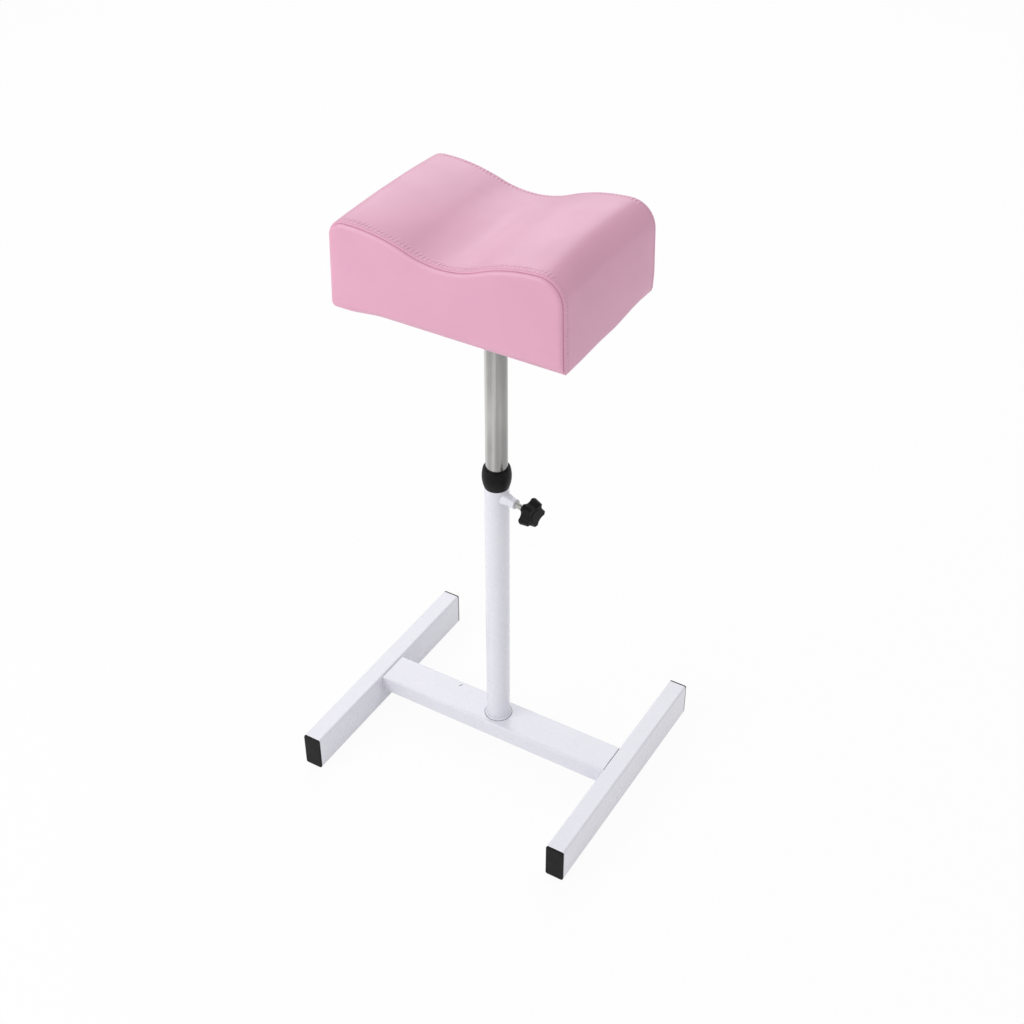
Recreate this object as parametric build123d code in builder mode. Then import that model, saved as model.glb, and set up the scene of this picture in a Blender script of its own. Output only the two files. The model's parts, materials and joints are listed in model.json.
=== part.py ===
# Pedicure footrest: a saddle-topped cushion on a chromed tube that slides and turns in a white
# post. The post stands on an H-shaped base of two rails and a crossbar, and a star knob on a
# clamp screw holds the tube at any height.
# Frame: origin on the floor, on the post's axis. +X runs along the crossbar, +Y along the rails
# and +Z up. Lengths are in millimetres, angles in degrees.

import os
from math import cos, radians, sin, tan

from build123d import *

os.makedirs("parts", exist_ok=True)

# Overall sizes
base_width = 320.0
base_depth = 280.0
lowest_height = 480.0
shown_height = 647.0
highest_height = 800.0
floor_gap = 3.0

# Fits and cutting
cut_over = 1.0
running_gap = 0.08
soft_gap = 0.3

# Rectangular tube of the rails and the crossbar
tube_wide = 40.0
tube_thin = 20.0
tube_wall = 1.2
inner_corner = 1.0
bar_drop = 1.5

# End caps of the rails
cap_flange = 2.0
cap_round = 0.7
plug_gap = 0.8
plug_wall = 1.4
plug_depth = 15.0
fin_gap = 0.05
fin_thick = 1.0
fin_count = 3

# Post
post_radius = 12.5
post_wall = 1.0
post_over_clamp = 9.5
post_foot_stick = 2.0
post_hole_gap = 0.1
screw_hole_gap = 0.5

# Weld beads
bar_bead = 1.4
post_bead = 2.1
plate_bead = 2.5
bead_toe = 0.2
bead_bulge_share = 0.6

# Collar on the post's end
collar_height = 23.0
collar_foot_radius = 12.4
collar_belly_radius = 14.7
collar_top_radius = 13.3
collar_belly_share = 0.45
collar_round = 0.8
spigot_depth = 5.0
spigot_press = 0.02

# Chromed lift tube and the plug in its foot
lift_radius = 11.0
lift_wall = 1.2
foot_flange = 3.0
foot_flange_gap = 0.1
foot_spigot = 15.0
foot_wall = 2.0
foot_chamfer = 0.8

# Clamp: boss, screw, pad and knob, on a level axis this many degrees round the post from +X
clamp_side = -13.0
clamp_height = 336.5
boss_radius = 5.2
boss_reach = 26.5
boss_chamfer = 0.7
boss_bead_radius = 8.0
boss_bead_reach = 19.0
screw_radius = 2.95
screw_chamfer = 0.4
pad_radius = 2.4
pad_thick = 1.8
pad_tube_gap = 0.1
pin_radius = 1.3
pin_depth = 1.1
screw_step_gap = 0.1
knob_back = 42.0
knob_thick = 10.8
knob_radius = 15.2
knob_taper = 12.0
knob_lobes = 5
knob_turn = 22.0
scallop_radius = 6.5
lobe_round = 2.8
knob_back_round = 1.2
knob_front_round = 0.8
hub_radius = 6.0
hub_length = 2.5
screw_in_knob = 8.5
dish_radius = 7.0
dish_depth = 0.9
knob_cap_gap = 0.1
knob_cap_thick = 1.5

# Cushion, over its cover
cushion_length = 238.7
cushion_depth = 164.6
cushion_height = 93.0
cushion_forward = 4.8
saddle_dip = 18.8
crown_rise = 3.5
end_waist = 1.2
wall_lean = 2.0
cover_thick = 1.2
foam_foot_radius = 5.5
foam_shoulder_radius = 23.5
foam_edge_radius = 4.5
valley_arc_share = 0.365
section_shares = (-1.0, -0.5, 0.0, 0.5, 1.0)
seam_setback = 2.2
hem_width = 22.0
board_thick = 12.0
cloth_thick = 0.5
cloth_lap = 12.0
cloth_round = 8.0

# Seat plate and its fasteners
plate_length = 120.0
plate_clear = 10.5
plate_thick = 2.5
plate_corner = 8.0
plate_lip = 6.0
bolt_inset = 15.0
bolt_radius = 3.0
bolt_hole_gap = 0.4
washer_radius = 6.0
washer_thick = 1.2
head_radius = 5.3
head_height = 3.6
head_round = 1.6
recess_radius = 2.2
recess_depth = 2.0
nut_flange_radius = 8.0
nut_flange_thick = 1.3
nut_barrel_radius = 3.9
nut_barrel_length = 9.0
nut_thread_gap = 0.05
bolt_past_nut = 1.0

# Heights and places that follow from the sizes above
outer_corner = inner_corner + tube_wall
post_top = clamp_height + post_over_clamp
rail_x = (base_width - tube_thin) / 2
rail_inner_x = base_width / 2 - tube_thin
rail_length = base_depth - 2 * cap_flange
bar_top = tube_wide - bar_drop
bar_bottom = bar_top - tube_thin
post_bore = post_radius - post_wall
post_foot = bar_bottom - post_foot_stick
guide_bore = lift_radius + running_gap
opening_length = cushion_length - 2 * hem_width
opening_depth = cushion_depth - 2 * hem_width
plate_depth = opening_depth - 2 * (cushion_forward + plate_clear)
bolt_span_x = plate_length - 2 * bolt_inset
bolt_span_y = plate_depth - 2 * bolt_inset
cushion_foot = shown_height - cushion_height
board_foot = cushion_foot + cover_thick
board_top = board_foot + board_thick
plate_top = board_foot - cloth_thick
plate_foot = plate_top - plate_thick
lift_length = plate_foot - (shown_height - lowest_height) - floor_gap - foot_flange
lift_foot = plate_foot - lift_length
lift_bore = lift_radius - lift_wall
scallop_bite = lobe_round + knob_front_round
pad_tip = lift_radius + pad_tube_gap
pad_end = pad_tip + pad_thick
screw_tip = pad_end + screw_step_gap
knob_front = knob_back + knob_thick
seam_y = cushion_depth / 2 - seam_setback
clamp_way = (cos(radians(clamp_side)), sin(radians(clamp_side)), 0)
clamp_axis = Axis((0, 0, clamp_height), clamp_way)


def save(node, name):
    node.part.label = name
    export_step(node.part, f"parts/{name}.step")


def clamp_plane(reach):
    """The plane square to the clamp's axis at this distance from the post's axis."""
    middle = (reach * clamp_way[0], reach * clamp_way[1], clamp_height)
    return Plane(origin=middle, x_dir=(-clamp_way[1], clamp_way[0], 0), z_dir=clamp_way)


# Floor rails: one tube section each, on edge along Y
for name, side in (("left_rail", -1), ("right_rail", 1)):
    with BuildPart() as rail:
        with BuildSketch(Plane.XZ):
            with Locations((side * rail_x, tube_wide / 2)):
                RectangleRounded(tube_thin, tube_wide, outer_corner)
                RectangleRounded(
                    tube_thin - 2 * tube_wall, tube_wide - 2 * tube_wall, inner_corner, mode=Mode.SUBTRACT
                )
        extrude(amount=rail_length / 2, both=True)
    save(rail, name)


def fitted_rectangle(gap, mode=Mode.ADD):
    """A rectangle that leaves this gap inside the rail's bore."""
    shrink = 2 * (tube_wall + gap)
    RectangleRounded(tube_thin - shrink, tube_wide - shrink, inner_corner, mode=mode)


# End caps: a flange over the tube's end and a hollow plug with three fins that grip the bore
for name, side, end in (
    ("front_left_cap", -1, -1),
    ("front_right_cap", 1, -1),
    ("rear_left_cap", -1, 1),
    ("rear_right_cap", 1, 1),
):
    mouth = Plane(
        origin=(side * rail_x, end * rail_length / 2, tube_wide / 2), x_dir=(1, 0, 0), z_dir=(0, end, 0)
    )
    with BuildPart() as cap:
        with BuildSketch(mouth):
            RectangleRounded(tube_thin, tube_wide, outer_corner)
        extrude(amount=cap_flange)
        outside = cap.faces().sort_by(Axis.Y)[-1 if end > 0 else 0]
        fillet(outside.edges(), cap_round)
        with BuildSketch(mouth):
            fitted_rectangle(plug_gap)
            fitted_rectangle(plug_gap + plug_wall, mode=Mode.SUBTRACT)
        extrude(amount=-plug_depth)
        for index in range(fin_count):
            fin_place = plug_depth * (index + 1) / (fin_count + 1)
            with BuildSketch(mouth.offset(-fin_place)):
                fitted_rectangle(fin_gap)
                fitted_rectangle(plug_gap + plug_wall, mode=Mode.SUBTRACT)
            extrude(amount=-fin_thick)
    save(cap, name)

# Crossbar: the same tube laid flat, with a hole through both walls for the post
with BuildPart() as cross_bar:
    with BuildSketch(Plane.YZ):
        with Locations((0, bar_top - tube_thin / 2)):
            RectangleRounded(tube_wide, tube_thin, outer_corner)
            RectangleRounded(
                tube_wide - 2 * tube_wall, tube_thin - 2 * tube_wall, inner_corner, mode=Mode.SUBTRACT
            )
    extrude(amount=rail_inner_x, both=True)
    with Locations((0, 0, bar_top)):
        Hole(radius=post_radius + post_hole_gap, depth=tube_thin)
save(cross_bar, "cross_bar")

# Weld beads at the crossbar's ends, along its sides and underside
with BuildPart() as bar_welds:
    for side in (-1, 1):
        with BuildSketch(Plane.YZ.offset(side * rail_inner_x)):
            with Locations((0, bar_top)):
                Rectangle(tube_wide + 2 * bar_bead, tube_thin + bar_bead, align=(Align.CENTER, Align.MAX))
        with BuildSketch(Plane.YZ.offset(side * (rail_inner_x - bar_bead))):
            with Locations((0, bar_top)):
                Rectangle(tube_wide + 2 * bead_toe, tube_thin + bead_toe, align=(Align.CENTER, Align.MAX))
        loft()
    with BuildSketch(Plane.YZ):
        with Locations((0, bar_top - tube_thin / 2)):
            RectangleRounded(tube_wide, tube_thin, outer_corner)
        with Locations((0, bar_top)):
            Rectangle(tube_wide + 2 * bar_bead + cut_over, 2 * outer_corner)
    extrude(amount=base_width / 2, both=True, mode=Mode.SUBTRACT)
save(bar_welds, "bar_welds")

# Post: a round tube through the crossbar, open below, with the clamp screw's hole near its top
with BuildPart() as post_tube:
    with BuildSketch(Plane.XY.offset(post_foot)):
        Circle(post_radius)
        Circle(post_bore, mode=Mode.SUBTRACT)
    extrude(amount=post_top - post_foot)
    with BuildSketch(clamp_plane(0)):
        Circle(screw_radius + screw_hole_gap)
    extrude(amount=post_radius + cut_over, mode=Mode.SUBTRACT)
save(post_tube, "post_tube")


def bead_section(radius, height, leg, up):
    """The section of a weld bead round a vertical tube: a bulged fillet on the side that up gives."""
    rise = leg * up
    with BuildSketch(Plane.XZ) as section:
        with BuildLine():
            Line((radius, height), (radius + leg, height))
            ThreePointArc(
                (radius + leg, height),
                (radius + leg * bead_bulge_share, height + rise * bead_bulge_share),
                (radius, height + rise),
            )
            Line((radius, height + rise), (radius, height))
        make_face()
    return section.sketch


with BuildPart() as post_welds:
    revolve(bead_section(post_radius, bar_top, post_bead, 1), axis=Axis.Z)
    revolve(bead_section(post_radius, bar_bottom, post_foot_stick, -1), axis=Axis.Z)
save(post_welds, "post_welds")

# Collar: a barrel on the post's end, with a thin spigot pressed into its bore
with BuildPart() as post_collar:
    with BuildSketch(Plane.XZ):
        with BuildLine():
            collar_top = post_top + collar_height
            barrel = ThreePointArc(
                (collar_foot_radius, post_top),
                (collar_belly_radius, post_top + collar_height * collar_belly_share),
                (collar_top_radius, collar_top),
            )
            Polyline(
                barrel @ 1,
                (guide_bore, collar_top),
                (guide_bore, post_top - spigot_depth),
                (post_bore - spigot_press, post_top - spigot_depth),
                (post_bore - spigot_press, post_top),
                barrel @ 0,
            )
        make_face()
    revolve(axis=Axis.Z)
    rims = post_collar.edges().filter_by(GeomType.CIRCLE).group_by(Axis.Z)[-1]
    fillet(rims.sort_by(SortBy.RADIUS)[-1], collar_round)
save(post_collar, "post_collar")

# Boss for the clamp screw and the bead that joins it to the post
with BuildPart() as clamp_boss:
    with BuildSketch(clamp_plane(0)):
        Circle(boss_radius)
        Circle(screw_radius + running_gap, mode=Mode.SUBTRACT)
    extrude(amount=boss_reach)
    mouth_rim = clamp_boss.edges().filter_by(GeomType.CIRCLE).group_by(clamp_axis)[-1]
    chamfer(mouth_rim.sort_by(SortBy.RADIUS)[-1], boss_chamfer)
    with Locations((0, 0, clamp_height)):
        Cylinder(post_radius, 2 * boss_bead_radius + cut_over, mode=Mode.SUBTRACT)
save(clamp_boss, "clamp_boss")

with BuildPart() as boss_weld:
    with BuildSketch(clamp_plane(post_bore / 2)):
        Circle(boss_bead_radius)
    with BuildSketch(clamp_plane(boss_bead_reach)):
        Circle(boss_radius + bead_toe)
    loft()
    with Locations((0, 0, clamp_height)):
        Cylinder(post_radius, 2 * boss_bead_radius + cut_over, mode=Mode.SUBTRACT)
    with BuildSketch(clamp_plane(0)):
        Circle(boss_radius)
    extrude(amount=boss_reach, mode=Mode.SUBTRACT)
save(boss_weld, "boss_weld")

# Clamp pad: a round shoe on the screw's tip, which turns on a short pin
with BuildPart() as clamp_pad:
    with BuildSketch(clamp_plane(pad_tip)):
        Circle(pad_radius)
    extrude(amount=pad_thick)
    with BuildSketch(clamp_plane(pad_end)):
        Circle(pin_radius + running_gap)
    extrude(amount=-pin_depth - running_gap, mode=Mode.SUBTRACT)
save(clamp_pad, "clamp_pad")

# Clamp screw: a plated rod from its pin to its seat inside the knob
with BuildPart() as clamp_screw:
    with BuildSketch(clamp_plane(screw_tip)):
        Circle(screw_radius)
    extrude(amount=knob_back + screw_in_knob - screw_tip)
    chamfer(clamp_screw.edges().filter_by(GeomType.CIRCLE), screw_chamfer)
    with BuildSketch(clamp_plane(screw_tip)):
        Circle(pin_radius)
    extrude(amount=-pin_depth - screw_step_gap)
save(clamp_screw, "clamp_screw")

# Star knob: a tapered disc with a scallop between each two lobes, a hub behind, a dish in front
with BuildPart() as star_knob:
    with BuildSketch(clamp_plane(knob_back)) as star:
        with Locations(Location((0, 0), knob_turn)):
            Circle(knob_radius)
            with PolarLocations(knob_radius + scallop_radius - scallop_bite, knob_lobes):
                Circle(scallop_radius, mode=Mode.SUBTRACT)
        fillet(star.vertices(), lobe_round)
    extrude(amount=knob_thick, taper=knob_taper)
    fillet(star_knob.faces().sort_by(clamp_axis)[0].edges(), knob_back_round)
    fillet(star_knob.faces().sort_by(clamp_axis)[-1].edges(), knob_front_round)
    with BuildSketch(clamp_plane(knob_back)):
        Circle(hub_radius)
    extrude(amount=-hub_length)
    with BuildSketch(clamp_plane(knob_front)):
        Circle(dish_radius)
    extrude(amount=-dish_depth, mode=Mode.SUBTRACT)
    with BuildSketch(clamp_plane(knob_back - hub_length)):
        Circle(screw_radius)
    extrude(amount=hub_length + screw_in_knob, mode=Mode.SUBTRACT)
save(star_knob, "star_knob")

with BuildPart() as knob_cap:
    with BuildSketch(clamp_plane(knob_front - dish_depth)):
        Circle(dish_radius - knob_cap_gap)
    extrude(amount=knob_cap_thick)
    rim = knob_cap.edges().group_by(clamp_axis)[-1]
    fillet(rim, knob_cap_thick - dish_depth)
save(knob_cap, "knob_cap")

# Lift tube, and the plug in its foot that keeps it central in the post
with BuildPart() as lift_tube:
    with BuildSketch(Plane.XY.offset(lift_foot)):
        Circle(lift_radius)
        Circle(lift_bore, mode=Mode.SUBTRACT)
    extrude(amount=lift_length)
save(lift_tube, "lift_tube")

with BuildPart() as foot_plug:
    with BuildSketch(Plane.XY.offset(lift_foot - foot_flange)):
        Circle(post_bore - foot_flange_gap)
    extrude(amount=foot_flange)
    with BuildSketch(Plane.XY.offset(lift_foot)):
        Circle(lift_bore - running_gap)
    extrude(amount=foot_spigot)
    ends = foot_plug.edges().group_by(Axis.Z)
    chamfer([ends[0], ends[-1]], foot_chamfer)
    with BuildSketch(Plane.XY.offset(lift_foot - foot_flange)):
        Circle(lift_bore - running_gap - foot_wall)
    extrude(amount=foot_flange + foot_spigot, mode=Mode.SUBTRACT)
save(foot_plug, "foot_plug")

# Seat plate: pressed steel with two lips turned down, holes for four screws, and its bead
bolt_places = GridLocations(bolt_span_x, bolt_span_y, 2, 2)
with BuildPart() as seat_plate:
    with BuildSketch(Plane.XY.offset(plate_foot)):
        RectangleRounded(plate_length, plate_depth, plate_corner)
        with bolt_places:
            Circle(bolt_radius + bolt_hole_gap, mode=Mode.SUBTRACT)
    extrude(amount=plate_thick)
    with BuildSketch(Plane.XY.offset(plate_foot)):
        with Locations((0, plate_depth / 2), (0, -plate_depth / 2)):
            Rectangle(plate_length - 2 * plate_corner, 2 * plate_thick)
        Rectangle(plate_length, plate_depth, mode=Mode.INTERSECT)
    extrude(amount=-plate_lip)
save(seat_plate, "seat_plate")

with BuildPart() as plate_weld:
    revolve(bead_section(lift_radius, plate_foot, plate_bead, -1), axis=Axis.Z)
save(plate_weld, "plate_weld")


with BuildPart() as plate_washers:
    with BuildSketch(Plane.XY.offset(plate_foot - washer_thick)):
        with bolt_places:
            Circle(washer_radius)
            Circle(bolt_radius + bolt_hole_gap, mode=Mode.SUBTRACT)
    extrude(amount=washer_thick)
save(plate_washers, "plate_washers")

head_top = plate_foot - washer_thick
bolt_end = board_top + bolt_past_nut
with BuildPart() as plate_screws:
    with BuildSketch(Plane.XY.offset(head_top)):
        with bolt_places:
            Circle(head_radius)
    extrude(amount=-head_height)
    fillet(plate_screws.edges().group_by(Axis.Z)[0], head_round)
    with BuildSketch(Plane.XY.offset(head_top)):
        with bolt_places:
            Circle(bolt_radius)
    extrude(amount=bolt_end - head_top)
    with BuildSketch(Plane.XY.offset(head_top - head_height)):
        with bolt_places:
            RegularPolygon(recess_radius, 6)
    extrude(amount=recess_depth, mode=Mode.SUBTRACT)
save(plate_screws, "plate_screws")

# Tee nuts: a flange on the board's top and a barrel down into its hole
with BuildPart() as tee_nuts:
    with BuildSketch(Plane.XY.offset(board_top)):
        with bolt_places:
            Circle(nut_flange_radius)
    extrude(amount=nut_flange_thick)
    with BuildSketch(Plane.XY.offset(board_top)):
        with bolt_places:
            Circle(nut_barrel_radius)
    extrude(amount=-nut_barrel_length)
    with BuildSketch(Plane.XY.offset(board_top - nut_barrel_length)):
        with bolt_places:
            Circle(bolt_radius + nut_thread_gap)
    extrude(amount=nut_barrel_length + nut_flange_thick, mode=Mode.SUBTRACT)
save(tee_nuts, "tee_nuts")


def saddle_section(y, skin, bow):
    """The cushion's outline at y from its middle: two humps with a valley between them.

    skin is the distance outside the foam, and bow is 1 at mid-depth and 0 at the front and back.
    Each outline runs through the foot arc, the leaning wall, the shoulder, the crest and the valley.
    """
    half = cushion_length / 2 - cover_thick + skin - end_waist * bow
    foot = cushion_foot + cover_thick - skin
    crest = shown_height - cover_thick + skin - crown_rise * (1 - bow)
    foot_radius = foam_foot_radius + skin
    shoulder_radius = foam_shoulder_radius + skin
    lean = radians(wall_lean)
    foot_centre = (half - foot_radius, foot + foot_radius)
    wall_foot = (foot_centre[0] + foot_radius * cos(lean), foot_centre[1] + foot_radius * sin(lean))
    wall_top_z = crest - shoulder_radius * (1 - sin(lean))
    wall_top = (wall_foot[0] - (wall_top_z - wall_foot[1]) * tan(lean), wall_top_z)
    crest_x = wall_top[0] - shoulder_radius * cos(lean)
    arc_sum = (crest_x**2 + saddle_dip**2) / (2 * saddle_dip)
    valley_share = valley_arc_share + skin / arc_sum
    turn = (crest_x * valley_share, crest - saddle_dip * (1 - valley_share))
    with BuildSketch(Plane.XZ.offset(cushion_forward - y)) as outline:
        with BuildLine():
            Line((0, foot), (foot_centre[0], foot))
            CenterArc(foot_centre, foot_radius, -90, 90 + wall_lean)
            Line(wall_foot, wall_top)
            CenterArc((crest_x, crest - shoulder_radius), shoulder_radius, wall_lean, 90 - wall_lean)
            TangentArc((crest_x, crest), turn, tangent=(-1, 0))
            TangentArc((0, crest - saddle_dip), turn, tangent=(1, 0))
            mirror(about=Plane.YZ)
        make_face()
    return outline.sketch


def saddle_form(skin):
    """The cushion's whole form, skin outside the foam: a loft through sections from front to back."""
    reach = cushion_depth / 2 - cover_thick + skin
    sections = [saddle_section(share * reach, skin, 1 - share**2) for share in section_shares]
    with BuildPart() as form:
        loft(sections)
        ends = form.faces().sort_by(Axis.Y)
        fillet([ends[0].edges(), ends[-1].edges()], foam_edge_radius + skin)
    return form


def slab(low, high, length, depth, mode):
    """A box over the cushion's plan from one height to another."""
    with Locations((0, -cushion_forward, low)):
        Box(length, depth, high - low, align=(Align.CENTER, Align.CENTER, Align.MIN), mode=mode)


cover_form = saddle_form(cover_thick)
lining_form = saddle_form(0)
foam_form = saddle_form(-soft_gap)

# Plywood board: the foam's plan, with a hole for each tee nut's barrel
with BuildPart() as cushion_board:
    add(foam_form.part)
    slab(board_foot, board_top, cushion_length, cushion_depth, Mode.INTERSECT)
    with BuildSketch(Plane.XY.offset(board_foot)):
        with bolt_places:
            Circle(nut_barrel_radius)
    extrude(amount=board_thick, mode=Mode.SUBTRACT)
save(cushion_board, "cushion_board")

# Foam block on the board, relieved over the tee nuts and screw ends
with BuildPart() as cushion_foam:
    add(foam_form.part)
    slab(board_top, shown_height, cushion_length, cushion_depth, Mode.INTERSECT)
    with BuildSketch(Plane.XY.offset(board_top)):
        with bolt_places:
            Circle(nut_flange_radius + soft_gap)
    extrude(amount=nut_flange_thick + bolt_past_nut + soft_gap, mode=Mode.SUBTRACT)
save(cushion_foam, "cushion_foam")

# Cover: its skin is the outer form less the lining's, open below inside the turned-in hem. The
# band runs up one end, over the wavy top and down the other, and a panel closes front and back.
with BuildPart() as cover_skin:
    add(cover_form.part)
    add(lining_form.part, mode=Mode.SUBTRACT)
    slab(cushion_foot - cut_over, board_top, opening_length, opening_depth, Mode.SUBTRACT)

with BuildPart() as cover_band:
    add(cover_skin.part)
    slab(cushion_foot - cut_over, shown_height + cut_over, 2 * cushion_length, 2 * seam_y, Mode.INTERSECT)
save(cover_band, "cover_band")

for name, end in (("cover_front_panel", -1), ("cover_back_panel", 1)):
    with BuildPart() as panel:
        add(cover_skin.part)
        with BuildSketch(Plane.XZ.offset(cushion_forward - end * seam_y)):
            with Locations((0, cushion_foot - cut_over)):
                Rectangle(2 * cushion_length, 2 * cushion_height, align=(Align.CENTER, Align.MIN))
        extrude(amount=-end * cushion_depth, mode=Mode.INTERSECT)
    save(panel, name)

# Dust cloth: a flat sheet over the board with its rim stepped down under the cover's hem
with BuildPart() as dust_cloth:
    with BuildSketch(Plane.XY.offset(cushion_foot - cloth_thick)):
        with Locations((0, -cushion_forward)):
            RectangleRounded(opening_length + 2 * cloth_lap, opening_depth + 2 * cloth_lap, cloth_round)
    extrude(amount=cloth_thick)
    slab(cushion_foot - cloth_thick, board_foot, opening_length, opening_depth, Mode.ADD)
    dish_length = opening_length - 2 * cloth_thick
    dish_width = opening_depth - 2 * cloth_thick
    slab(cushion_foot - cloth_thick, board_foot - cloth_thick, dish_length, dish_width, Mode.SUBTRACT)
    with BuildSketch(Plane.XY.offset(cushion_foot)):
        with bolt_places:
            Circle(bolt_radius + bolt_hole_gap)
    extrude(amount=cover_thick, mode=Mode.SUBTRACT)
save(dust_cloth, "dust_cloth")

print(f"travel {lowest_height - shown_height:g} to {highest_height - shown_height:g} mm from the shown height")
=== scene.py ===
# %% [markdown]
# # Pedicure footrest
#
# A saddle-topped cushion in pink imitation leather stands on a chromed tube. The tube slides and
# turns in a white post on an H-shaped base, and a star knob on a clamp screw holds it. The packed
# solids give every size. This notebook dresses them: it gives each solid a finish, and builds the
# padded cover, its stitches, the welds and the screw's thread as pieces of their own.

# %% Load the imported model
import json
import math
import random

import bmesh
import bpy
import numpy as np
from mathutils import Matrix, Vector
from mathutils import noise as waves
from mathutils.bvhtree import BVHTree
from mathutils.interpolate import poly_3d_calc


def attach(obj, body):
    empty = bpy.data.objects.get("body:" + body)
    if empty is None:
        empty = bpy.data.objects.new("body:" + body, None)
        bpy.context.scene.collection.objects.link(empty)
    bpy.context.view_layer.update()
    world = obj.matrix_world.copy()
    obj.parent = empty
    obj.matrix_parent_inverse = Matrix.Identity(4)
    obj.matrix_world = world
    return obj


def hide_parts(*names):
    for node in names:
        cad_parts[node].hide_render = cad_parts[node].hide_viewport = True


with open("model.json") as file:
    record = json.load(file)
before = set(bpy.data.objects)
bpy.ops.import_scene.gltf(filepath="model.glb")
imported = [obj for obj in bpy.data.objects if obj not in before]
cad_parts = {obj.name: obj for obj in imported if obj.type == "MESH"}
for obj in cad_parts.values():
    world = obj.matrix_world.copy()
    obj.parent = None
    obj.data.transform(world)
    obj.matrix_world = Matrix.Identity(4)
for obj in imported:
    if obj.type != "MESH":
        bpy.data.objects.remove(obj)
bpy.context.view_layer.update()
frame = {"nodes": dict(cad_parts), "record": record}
MM = 0.001

# %% [markdown]
# ## Camera
#
# The photograph states the size of the base, so a camera was fitted to the base's corners. It
# looks down at about 38 degrees from the front and right. A camera placed by eye would do for a
# pretty picture, but a fitted one lets the render and the photograph be laid over each other.

# %% Camera
azimuth, elevation = math.radians(30.85), math.radians(37.55)
level = math.cos(elevation)
back = Vector((math.sin(azimuth) * level, -math.cos(azimuth) * level, math.sin(elevation)))
camera = bpy.data.objects.new("camera", bpy.data.cameras.new("camera"))
bpy.context.collection.objects.link(camera)
camera.location = (0.64727, -1.05478, 1.26482)
camera.rotation_mode = "QUATERNION"
camera.rotation_quaternion = (-back).to_track_quat("-Z", "Y")
camera.data.sensor_width = 36.0
camera.data.lens = 55.5
bpy.context.scene.camera = camera
bpy.context.scene.view_settings.view_transform = "Standard"
print("camera at", [round(v, 3) for v in camera.location])

# %% [markdown]
# ## Helpers for finishes
#
# Every finish is a small graph of nodes round one shader. The nodes could be joined by hand in
# each cell, but helpers keep a finish to a few lines. Patterns come from object coordinates,
# which are metres in the shared frame, so a grain of one millimetre is a scale of 1000, and no
# solid needs unwrapping.


# %% Helpers for finishes
def node(tree, kind, inputs=None, **settings):
    """A new node's first output. Inputs are values or other nodes' outputs."""
    made = tree.nodes.new("ShaderNode" + kind)
    for name, value in settings.items():
        setattr(made, name, value)
    for name, value in (inputs or {}).items():
        if isinstance(value, bpy.types.NodeSocket):
            tree.links.new(value, made.inputs[name])
        else:
            made.inputs[name].default_value = value
    return made.outputs[0]


def math_node(tree, operation, first, second=0.0):
    """One step of arithmetic on values."""
    return node(tree, "Math", {0: first, 1: second}, operation=operation)


def times(tree, first, second):
    """The product of two values."""
    return math_node(tree, "MULTIPLY", first, second)


def plus(tree, first, second):
    """The sum of two values."""
    return math_node(tree, "ADD", first, second)


def place(tree, stretch=(1, 1, 1), turn=(0, 0, 0), shift=(0, 0, 0)):
    """Object coordinates, stretched, turned and shifted."""
    start = tree.nodes.new("ShaderNodeTexCoord").outputs["Object"]
    settings = {"Vector": start, "Scale": stretch, "Rotation": turn, "Location": shift}
    return node(tree, "Mapping", settings)


def parts_of(tree, vector):
    """The X, Y and Z outputs of a vector."""
    return node(tree, "SeparateXYZ", {"Vector": vector}).node.outputs


def noise(tree, scale, detail=2.0, vector=None):
    """A noise pattern from 0 to 1."""
    settings = {"Vector": vector or place(tree), "Scale": scale, "Detail": detail}
    return node(tree, "TexNoise", settings)


def ramp(tree, factor, *stops):
    """A colour ramp through (position, colour) stops."""
    made = tree.nodes.new("ShaderNodeValToRGB")
    tree.links.new(factor, made.inputs["Fac"])
    elements = made.color_ramp.elements
    while len(elements) < len(stops):
        elements.new(0.5)
    for element, (position, colour) in zip(elements, stops):
        element.position = position
        element.color = (*colour, 1)
    return made.outputs["Color"]


def shade(colour, amount):
    """A colour made lighter or darker by a factor."""
    return tuple(min(1.0, channel * amount) for channel in colour)


def mottle(tree, colour, pattern, dark, light):
    """A colour that drifts with a pattern between a darker and a lighter shade of itself."""
    return ramp(tree, pattern, (0.3, shade(colour, dark)), (0.7, shade(colour, light)))


def spread(tree, value, low, high):
    """A value from 0 to 1, spread from low to high."""
    return node(tree, "MapRange", {"Value": value, "To Min": low, "To Max": high})


def bump(tree, height, distance, strength=1.0, below=None):
    """Surface relief of this many metres, on top of another one."""
    inputs = {"Height": height, "Distance": distance, "Strength": strength}
    if below:
        inputs["Normal"] = below
    return node(tree, "Bump", inputs)


print("helpers for patterns, shades and relief are ready")

# %% [markdown]
# ## Giving a piece its finish
#
# A finish's own fixed values, such as how metallic it is, are set on the shader itself. Whatever
# drifts over the surface is a pattern that is linked to it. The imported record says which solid
# wears which finish, so the solids are found by it instead of being listed here again.


# %% Giving a piece its finish
def finish(name, roughness=0.4, metallic=0.0, **fixed):
    """A material with its tree and its shader's inputs, for the cell that fills it in."""
    material = bpy.data.materials.new(name)
    material.use_nodes = True
    shader = material.node_tree.nodes["Principled BSDF"]
    shader.inputs["Metallic"].default_value = metallic
    shader.inputs["Roughness"].default_value = roughness
    for socket, value in fixed.items():
        shader.inputs[socket.replace("_", " ")].default_value = value
    return material, material.node_tree, shader.inputs


def dress(tree, sockets, colour, roughness=None, relief=None):
    """Links a finish's patterns to its shader."""
    for name, pattern in (("Base Color", colour), ("Roughness", roughness), ("Normal", relief)):
        if pattern:
            tree.links.new(pattern, sockets[name])


def paint(objects, material):
    """Gives objects a material in place of their own."""
    for piece in objects:
        piece.data.materials.clear()
        piece.data.materials.append(material)


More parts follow.
